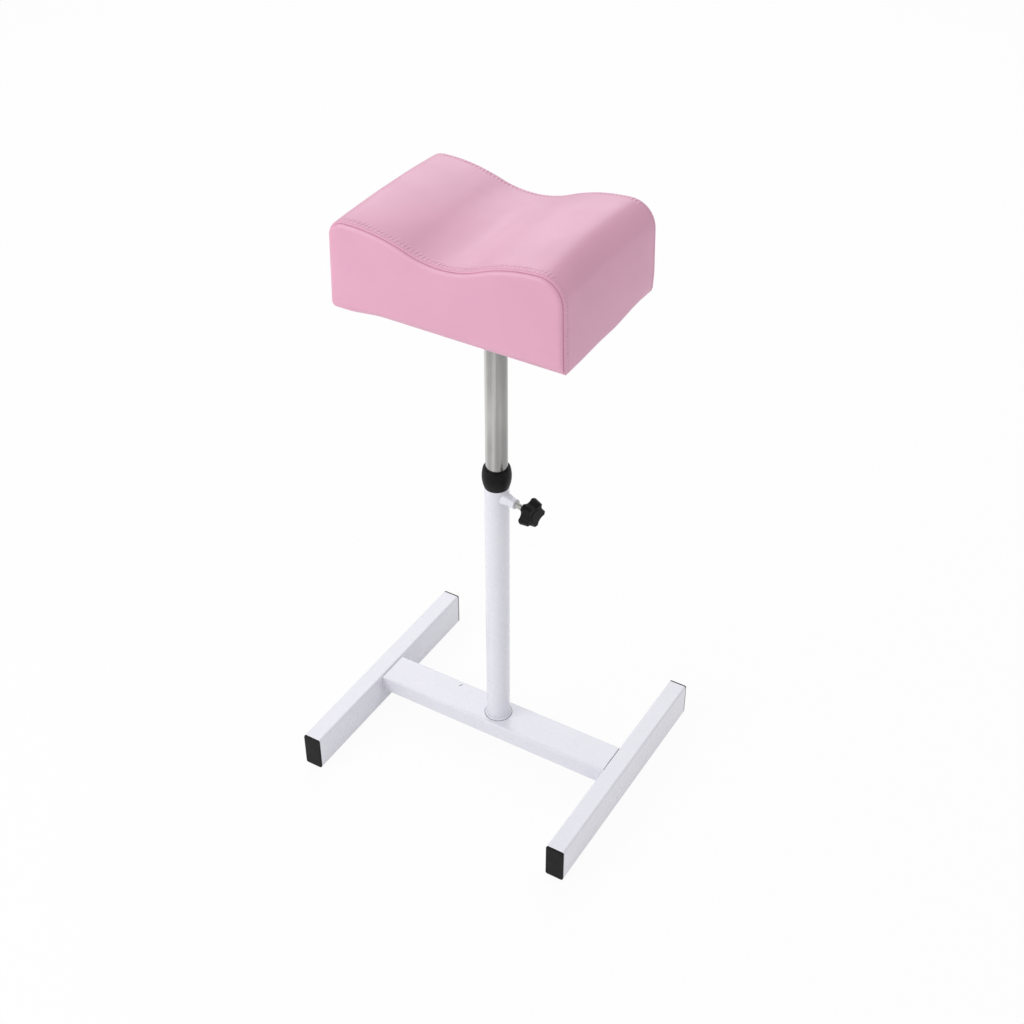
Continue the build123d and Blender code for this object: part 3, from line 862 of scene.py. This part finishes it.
# %% Seams, waves and lean
FORWARD, SKEW, FAR_RUN = 4.8, 0.022, 30.0
BROAD_WAVE, FOOT_WAVE, FOOT_WAVE_REACH, SETTLED = 0.35, 0.6, 9.0, 4
FULLER_OUT, FULLER_UP = 1.8, 1.5
GROOVE, RIDGE, DENT = 0.8, 0.1, 0.22
row_run = [*fine_seam, *[FAR_RUN] * (len(rows) - 2 * len(fine_seam)), *fine_seam[::-1]]
stitch_row = fine_seam.index(STITCH)
stitch_rows = (stitch_row, len(rows) - 1 - stitch_row)


def ripple(point, size, seed):
    """Smooth noise from -1 to 1 at a point in mm."""
    return waves.noise(Vector(point) / size + Vector((seed, 0, 0)))


def hump(run, middle, width):
    """A smooth hump from 0 to 1, so far away from the seam and so wide."""
    return math.exp(-(((run - middle) / width) ** 2))


def seam_relief(run):
    """The seam's groove, the ridge beside it and the topstitching's dent, in mm outward."""
    dent = DENT * hump(run, STITCH, 0.8) if run > 0 else 0.0
    return RIDGE * hump(run, 2.4, 1.5) - GROOVE * hump(run, 0.0, 0.6) - dent


for k, point in enumerate(drawn):
    relief = BROAD_WAVE * ripple(point, 46, 3.1)
    if vertices[k][2] > UNDERSIDE:
        relief += seam_relief(FAR_RUN if places[k] is None else row_run[places[k][0]])
    low = math.exp(-max(0.0, point[2] - FOOT) / FOOT_WAVE_REACH)
    relief += FOOT_WAVE * low * ripple(point, 24, 7.7)
    flat = min(0.0, 0.3 * relief)
    shape[k] += outward[k] * (flat + (relief - flat) * eased((vertices[k][2] - FOOT) / SETTLED))

high, backward = vertices[:, 2] - FOOT, eased((vertices[:, 1] + 50) / 110)
at_end, on_right = eased((vertices[:, 0] - 60) / 50), eased((vertices[:, 0] + 60) / 80)
shape[:, 0] += FULLER_OUT * backward * at_end * eased(high / 30)
shape[:, 2] += FULLER_UP * backward * on_right * eased((high - 20) / 60)
shape[:, 2] += SKEW * shape[:, 0] * np.clip(shape[:, 2] - FOOT, 0, None) / HEIGHT
shape[:, 1] -= FORWARD
print("cover reaches", np.round(shape.min(axis=0), 1), "to", np.round(shape.max(axis=0), 1))

# %% [markdown]
# ## Cutting the cover into its panels
#
# The cover is cut from three pieces of leather: one long band that runs up one end, over the top
# and down the other, and a front and a back panel. Each is its own mesh. Underneath, all three
# stop at the hem, inside which the dust cloth shows. They could be sewn from flat patterns in a
# cloth run, but cutting one form gives seams that meet exactly.

# %% Cutting the cover into its panels
centres = vertices[np.array(quads)].mean(axis=1)
hem_x, hem_y = LENGTH / 2 - HEM, DEPTH / 2 - HEM
seam_y = DEPTH / 2 - SEAM_BACK
middle_x, middle_y = abs(centres[:, 0]), centres[:, 1]
under_hem = (centres[:, 2] < FOOT + 0.4) & (middle_x < hem_x)
opening = under_hem & (abs(middle_y) < hem_y)
end_strip = under_hem & (abs(middle_y) > hem_y)
front = ((middle_y < -seam_y + 1e-6) | (end_strip & (middle_y < 0))) & ~opening
rear = ((middle_y > seam_y - 1e-6) | (end_strip & (middle_y > 0))) & ~opening
band = ~(opening | front | rear)

along = np.zeros(len(vertices))
away = np.full(len(vertices), -FAR_RUN)
for row in range(len(rows)):
    ids = slice(row * around, (row + 1) * around)
    steps = np.linalg.norm(np.roll(shape[ids], -1, axis=0) - shape[ids], axis=1)
    along[ids] = np.concatenate(([0], np.cumsum(steps)[:-1]))
    away[ids] = row_run[row]


def panel(name, chosen, replaced):
    """One panel of the cover, with its place along and away from the seam kept as its map."""
    faces = [quads[k] for k in np.nonzero(chosen)[0]]
    used = sorted({v for quad in faces for v in quad})
    number = {v: k for k, v in enumerate(used)}
    renumbered = [tuple(number[v] for v in quad) for quad in faces]
    piece = mesh_piece(name, shape[used], renumbered, "pink_leather")
    sewn = piece.data.uv_layers.new(name="sewn")
    for polygon in piece.data.polygons:
        corners = [used[v] for v in polygon.vertices]
        furthest = max(along[corners])
        wraps = furthest - min(along[corners]) > 100
        for corner, v in zip(polygon.loop_indices, corners):
            sewn.data[corner].uv = ((furthest if wraps else along[v]) * MM, away[v] * MM)
    edge = piece.modifiers.new("leather_edge", "SOLIDIFY")
    edge.thickness = COVER * MM
    edge.offset = -1.0
    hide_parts(replaced)
    return piece


cover = [
    panel("cover_band_leather", band, "cover_band"),
    panel("cover_front_leather", front, "cover_front_panel"),
    panel("cover_back_leather", rear, "cover_back_panel"),
]
print("panels:", [(piece.name, len(piece.data.polygons)) for piece in cover])

# %% [markdown]
# ## Pink imitation leather
#
# The cover is coated fabric with a satin gloss. Its grain is a net of shallow pebbles about a
# millimetre across, with finer pores between. Along the topstitching each stitch gathers the
# leather into a short ridge across the row, some more than others. The map made with the panels
# says how far along and away from the seam each spot is, so the ridges follow the stitches round
# the wave, which a pattern in plain coordinates couldn't do.

# %% Pink imitation leather
STITCH_PITCH = 4.0
GATHERS_AT, GATHERS_REACH = 0.0055, 0.0038
PINK = [c * tint for c, tint in zip(colours["pink_leather"], (0.955, 0.88, 0.905))]
leather, tree, sockets = finish("pink_leather", Specular_IOR_Level=0.88)
pebbles = node(tree, "TexVoronoi", {"Vector": place(tree), "Scale": 820.0}, feature="SMOOTH_F1")
grain = bump(tree, math_node(tree, "POWER", pebbles, 1.4), 0.00009, 0.45)
pores = bump(tree, noise(tree, 2600, 2.0), 0.00003, 0.4, grain)

sewn = parts_of(tree, node(tree, "UVMap", uv_map="sewn"))
turns = times(tree, sewn["X"], 2 * math.pi / (STITCH_PITCH * MM))
wave = math_node(tree, "SINE", plus(tree, turns, times(tree, noise(tree, 160), 5.0)))
wave = times(tree, wave, spread(tree, noise(tree, 110, 2.0), -0.5, 2.2))
distance = math_node(tree, "ABSOLUTE", math_node(tree, "SUBTRACT", sewn["Y"], GATHERS_AT))
distance = math_node(tree, "MINIMUM", math_node(tree, "DIVIDE", distance, GATHERS_REACH), 1.0)
fade = math_node(tree, "SUBTRACT", 1.0, distance)
dress(
    tree, sockets,
    ramp(tree, noise(tree, 13, 3.0), (0.32, shade(PINK, 0.965)), (0.68, shade(PINK, 1.02))),
    spread(tree, noise(tree, 75, 4.0), 0.36, 0.5),
    bump(tree, times(tree, wave, fade), 0.00032, 0.75, pores),
)
paint(cover, leather)
print("leather on the cover")

# %% [markdown]
# ## Topstitching
#
# A heavy thread runs along both seams on the band's side, from the foot of one end over the wave
# to the foot of the other. Each stitch is a short slug of thread that dips into the leather at
# both ends. A painted dashed line would be lighter, but slugs catch the light and throw the small
# shadows that make a stitch show.


# %% Topstitching
def slugs(name, segments, radius, slot, body="lift", sides=7):
    """Round-ended slugs along (start, end, up) segments in mm, as one piece."""
    points, faces = [], []
    rounded = [(0.0, 1.0), (0.28, 0.95), (0.44, 0.62), (0.5, 0.0)]
    profile = [(-share, thick) for share, thick in rounded[:0:-1]] + rounded
    for start, end, up in segments:
        start, end, up = (np.asarray(v, float) for v in (start, end, up))
        way = end - start
        across = np.cross(way, up)
        across /= np.linalg.norm(across)
        rise = np.cross(across, way)
        rise /= np.linalg.norm(rise)
        first = len(points)
        for share, thick in profile:
            centre = (start + end) / 2 + way * share - rise * radius * 0.9 * (2 * share) ** 2
            thickness = radius * max(thick, 0.05)
            for k in range(sides):
                angle = 2 * math.pi * k / sides
                way_out = math.cos(angle) * across + math.sin(angle) * rise
                points.append(centre + thickness * way_out)
        for ring in range(len(profile) - 1):
            a, b = first + ring * sides, first + (ring + 1) * sides
            for k in range(sides):
                after = (k + 1) % sides
                faces.append((a + k, a + after, b + after, b + k))
        last = first + (len(profile) - 1) * sides
        faces.append(tuple(range(first, first + sides))[::-1])
        faces.append(tuple(range(last, last + sides)))
    return mesh_piece(name, points, faces, slot, body)


def stitch_segments(row, pitch, length):
    """Stitches along a row of the cover's mesh, from foot to foot over the top."""
    underneath = fine_counts[0] + fine_counts[1]
    ids = [row * around + step for step in range(underneath + 3, around - underneath - 2)]
    thread_line = shape[ids] + outward[ids] * 0.02
    steps = np.linalg.norm(np.diff(thread_line, axis=0), axis=1)
    runs = np.concatenate(([0], np.cumsum(steps)))

    def at(run, values):
        return np.array([np.interp(run, runs, values[:, c]) for c in range(3)])

    return [
        (at(run, thread_line), at(run + length, thread_line), at(run + length / 2, outward[ids]))
        for run in (k * pitch for k in range(int(runs[-1] / pitch)))
    ]


stitches = [s for row in stitch_rows for s in stitch_segments(row, STITCH_PITCH, 2.9)]
topstitch = slugs("topstitch", stitches, 0.27, "pink_leather")
thread, tree, sockets = finish("pink_thread", roughness=0.55)
twist = node(tree, "TexWave", {"Vector": place(tree), "Scale": 900.0}, bands_direction="DIAGONAL")
shades = mottle(tree, PINK, noise(tree, 400), 0.82, 0.94)
dress(tree, sockets, shades, relief=bump(tree, twist, 0.00008, 0.6))
paint([topstitch], thread)
print("stitches:", len(stitches))

# %% [markdown]
# ## Foam
#
# The foam fills the cover above the board. It is open-celled and cream coloured, and it is hidden
# in use. The cover's own form, a skin's thickness smaller and cut off level with the board's top,
# gives it without a second model.

# %% Foam
BOARD_TOP = FOOT + COVER + 12.0
foam_points, foam_faces, _, _ = cushion_form(coarse_counts, coarse_seam, coarse_middle, skin=-0.6)
foam_points[:, 2] = np.maximum(foam_points[:, 2], BOARD_TOP)
foam_points[:, 2] += SKEW * foam_points[:, 0] * (foam_points[:, 2] - BOARD_TOP) / HEIGHT
foam_points[:, 1] -= FORWARD
foam = mesh_piece("foam_block", foam_points, foam_faces, "foam")
foam_finish, tree, sockets = finish("foam", roughness=0.9)
CREAM = colours["foam"]
cells = node(tree, "TexVoronoi", {"Vector": place(tree), "Scale": 1100.0})
dress(
    tree, sockets,
    ramp(tree, cells, (0.1, shade(CREAM, 0.7)), (0.6, CREAM)),
    spread(tree, cells, 0.95, 0.8),
    bump(tree, cells, 0.0004, 0.7),
)
paint([foam], foam_finish)
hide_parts("cushion_foam")
print("foam:", len(foam.data.polygons), "faces")

# %% [markdown]
# ## Dust cloth
#
# A black non-woven cloth closes the underside. Its rim lies over the hem, where it is stapled,
# and its middle is pressed up against the board by the seat plate. Between them it sags by a
# fraction of a millimetre. It is stapled all round and pulled tight, so it needs no cloth run: a
# grid of points, raised inside the hem and open at the four screws, gives the same.

# %% Dust cloth
CLOTH, OVERLAP, RISE, SAG = 0.5, 12.0, 1.15, 0.22
PLATE_X, PLATE_Y = 66, 52
SCREWS, HOLE = [(x, y) for x in (-45, 45) for y in (-30, 30)], 4.6
cloth_x, cloth_y = hem_x + OVERLAP, hem_y + OVERLAP
columns, lanes = 88, 58
points, faces = [], []
for j in range(lanes + 1):
    for i in range(columns + 1):
        x = -cloth_x + 2 * cloth_x * i / columns
        y = -cloth_y + 2 * cloth_y * j / lanes
        inside = min(hem_x - abs(x), hem_y - abs(y))
        pressed = abs(x) < PLATE_X and abs(y - FORWARD) < PLATE_Y
        sag = 0.0 if inside < 6 or pressed else SAG
        z = FOOT - CLOTH / 2 + RISE * float(eased(inside / 6.0))
        z -= sag * (0.5 + 0.5 * ripple((x, y, 0), 19, 1.3))
        points.append((x, y - FORWARD, z))
for j in range(lanes):
    for i in range(columns):
        a = j * (columns + 1) + i
        quad = (a, a + 1, a + columns + 2, a + columns + 1)
        middle = np.mean([points[v] for v in quad], axis=0)
        if min(math.hypot(middle[0] - x, middle[1] - y) for x, y in SCREWS) > HOLE:
            faces.append(quad)
dust = mesh_piece("dust_cloth_felt", points, faces, "dust_cloth")
thick = dust.modifiers.new("felt_thickness", "SOLIDIFY")
thick.thickness = CLOTH * MM * 0.9
thick.offset = 0.0

felt, tree, sockets = finish("dust_cloth", roughness=0.95, Sheen_Weight=0.3)
fibres = noise(tree, 900, 6.0, place(tree, stretch=(1, 0.35, 1)))
shades = mottle(tree, colours["dust_cloth"], fibres, 0.6, 1.6)
dress(tree, sockets, shades, relief=bump(tree, fibres, 0.0002, 0.7))
paint([dust], felt)
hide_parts("dust_cloth")
print("dust cloth", 2 * cloth_x, "by", 2 * cloth_y, "mm")

# %% [markdown]
# ## Staples
#
# Fine wire staples hold the cloth and the hem to the board, about one every 28 millimetres. Only
# a staple's crown shows, so each is one slug, like a stitch. They were shot by hand, so seeded
# random numbers let them wander a little and turn, in the same way at each run.

# %% Staples
random.seed(11)
SPACING, HALF_CROWN = 28, 4.6
staples = []
for side_x, side_y in ((0, -1), (0, 1), (-1, 0), (1, 0)):
    level_row = side_x == 0
    span = cloth_x if level_row else cloth_y
    count = int(2 * span / SPACING)
    for k in range(count):
        spot = -span + 2 * span * (k + 0.5) / count + random.uniform(-2, 2)
        edge_in = random.uniform(4.2, 6.0)
        x = spot if level_row else side_x * (cloth_x - edge_in)
        y = side_y * (cloth_y - edge_in) if level_row else spot
        turn = random.uniform(-0.16, 0.16) + (0 if level_row else math.pi / 2)
        reach = np.array([math.cos(turn), math.sin(turn), 0]) * HALF_CROWN
        centre = np.array([x, y - FORWARD, FOOT - CLOTH - 0.22])
        staples.append((centre - reach, centre + reach, (0, 0, -1)))
wires = slugs("staples", staples, 0.32, "plated_steel")
paint([wires], zinc)
print("staples:", len(staples))

# %% [markdown]
# ## Weld beads
#
# The welds are laid as a row of overlapping puddles, so a bead has a scalloped crest, under the
# same paint as the steel. A bead could be a plain fillet with relief on it, but its scallops show
# on its outline. So it is swept along its joint with a quarter-round section that swells at every
# puddle, a little differently each time.


# %% Weld beads
PUDDLE, SECTION, BURIED = 2.4, 7, 0.25


def bead(name, stations, leg, slot, material, body="base", closed=True, seed=1):
    """A rippled bead through (corner, way out, way up) stations in mm."""
    random.seed(seed)
    steps = [0.0]
    for (p, _, _), (q, _, _) in zip(stations, stations[1:]):
        steps.append(steps[-1] + float(np.linalg.norm(np.subtract(q, p))))
    points, faces = [], []
    drift = [random.uniform(0.93, 1.07) for _ in range(int(steps[-1] / PUDDLE) + 3)]
    for (corner, out, up), run in zip(stations, steps):
        puddle = run / PUDDLE
        swell = 0.86 + 0.16 * math.sqrt(max(0.0, 1 - (2 * (puddle % 1.0) - 1) ** 2))
        size = leg * swell * drift[int(puddle)]
        corner, out, up = (np.asarray(v, float) for v in (corner, out, up))
        points.append(corner - BURIED * (out + up))
        for k in range(SECTION):
            angle = math.pi / 2 * k / (SECTION - 1)
            outer = max(0.0, math.cos(angle)) ** 0.8 if k < SECTION - 1 else 0.0
            points.append(corner + size * (outer * out + math.sin(angle) ** 0.8 * up))
    ring = SECTION + 1
    count = len(stations)
    for k in range(count if closed else count - 1):
        a, b = k * ring, ((k + 1) % count) * ring
        for j in range(ring):
            after = (j + 1) % ring
            faces.append((a + j, a + after, b + after, b + j))
    if not closed:
        faces.append(tuple(range(ring))[::-1])
        faces.append(tuple((count - 1) * ring + j for j in range(ring)))
    piece = mesh_piece(name, points, faces, slot, body)
    paint([piece], material)
    return piece


def ring_stations(radius, height, up, count=240):
    """Stations round an upright tube."""
    angles = [2 * math.pi * k / count for k in range(count)]
    ways = [(math.cos(angle), math.sin(angle), 0) for angle in angles]
    return [((radius * w[0], radius * w[1], height), w, (0, 0, up)) for w in ways]


POST, LIFT_TUBE, BAR_TOP, BAR_FOOT, PLATE_FOOT = 12.5, 11.0, 38.5, 18.5, 552.2
on_bar = ring_stations(POST, BAR_TOP, 1)
under_bar = ring_stations(POST, BAR_FOOT, -1)
under_plate = ring_stations(LIFT_TUBE, PLATE_FOOT, -1)
post_bead = bead("post_weld_top", on_bar, 2.0, "white_powder_coat", powder)
bead("post_weld_foot", under_bar, 1.9, "white_powder_coat", powder, seed=2)
plate_bead = bead("plate_weld_bead", under_plate, 2.4, "black_paint", satin, "lift", seed=3)
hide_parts("post_welds")
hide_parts("plate_weld")
print("beads round the post and the lift tube")

# %% [markdown]
# ## Weld beads of the crossbar
#
# At each rail the bead runs down one side of the crossbar, under it and up the other side. It
# leaves the top bare, as the picture shows, where the crack stays open.


# %% Weld beads of the crossbar
def bar_stations(side, radius=2.2, half=20.0, step=0.3):
    """Stations down one side of the crossbar, under it and up the other, at one rail."""
    x, away_from_rail = side * 140.0, (-side, 0, 0)
    corners = [
        (-half, BAR_TOP - radius), (-half, BAR_FOOT + radius), (-half + radius, BAR_FOOT),
        (half - radius, BAR_FOOT), (half, BAR_FOOT + radius), (half, BAR_TOP - radius),
    ]
    outs = [(-1, 0), (-1, 0), (0, -1), (0, -1), (1, 0), (1, 0)]
    found = []
    for k in range(5):
        (y0, z0), (y1, z1) = corners[k], corners[k + 1]
        if outs[k] == outs[k + 1]:
            count = int(math.hypot(y1 - y0, z1 - z0) / step)
            for n in range(count):
                t = n / count
                spot = (x, y0 + (y1 - y0) * t, z0 + (z1 - z0) * t)
                found.append((spot, away_from_rail, (0, *outs[k])))
        else:
            first_corner = k == 1
            centre = (y0 + radius, z0) if first_corner else (y0, z0 + radius)
            start = math.pi if first_corner else -math.pi / 2
            for n in range(10):
                angle = start + math.pi / 2 * n / 10
                way = (math.cos(angle), math.sin(angle))
                spot = (x, centre[0] + radius * way[0], centre[1] + radius * way[1])
                found.append((spot, away_from_rail, (0, *way)))
    return found


bar_beads = [
    bead(name, bar_stations(side), 1.35, "white_powder_coat", powder, closed=False, seed=seed)
    for name, side, seed in (("bar_weld_left", -1, 4), ("bar_weld_right", 1, 5))
]
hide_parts("bar_welds")
print("beads on the bar:", [len(piece.data.polygons) for piece in bar_beads], "faces")

# %% [markdown]
# ## Thread of the clamp screw
#
# The clamp screw is an M6 set in the knob, with a rolled thread of one millimetre pitch. The solid
# is a plain rod, as a threaded one would be heavy and would gain nothing in the joints. Here its
# crest and root are swept as one helical surface, inside the rod that it replaces.

# %% Thread of the clamp screw
SCREW_WAY, SCREW_HEIGHT = math.radians(-13.0), 336.5
CREST, THREAD_DEPTH = 2.93, 0.55
pin_start, pin_radius, tip, rod_end = 11.8, 1.3, 13.0, 50.5
around_rod, per_turn = 28, 8
axis = np.array([math.cos(SCREW_WAY), math.sin(SCREW_WAY), 0.0])
across = np.array([-axis[1], axis[0], 0.0])
up = np.array([0.0, 0.0, 1.0])
points, faces = [], []
lengths = [pin_start, tip]
lengths += [tip + k / per_turn for k in range(int((rod_end - tip) * per_turn) + 1)]
for number, reach in enumerate(lengths):
    for k in range(around_rod):
        angle = 2 * math.pi * k / around_rod
        turn = (reach - k / around_rod) % 1.0
        groove = max(0.0, 1 - abs(turn - 0.5) / 0.36) * min(1, (reach - tip) / 0.8)
        radius = pin_radius if number < 2 else CREST - THREAD_DEPTH * groove
        off_axis = radius * (math.cos(angle) * across + math.sin(angle) * up)
        points.append(axis * reach + off_axis + up * SCREW_HEIGHT)
for number in range(len(lengths) - 1):
    a, b = number * around_rod, (number + 1) * around_rod
    for k in range(around_rod):
        after = (k + 1) % around_rod
        faces.append((a + k, b + k, b + after, a + after))
last = (len(lengths) - 1) * around_rod
faces.append(tuple(range(around_rod)))
faces.append(tuple(range(last, last + around_rod))[::-1])
screw = mesh_piece("clamp_screw_thread", points, faces, "plated_steel", "clamp_knob")
paint([screw], zinc)
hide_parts("clamp_screw")
print("thread turns:", round(rod_end - tip))
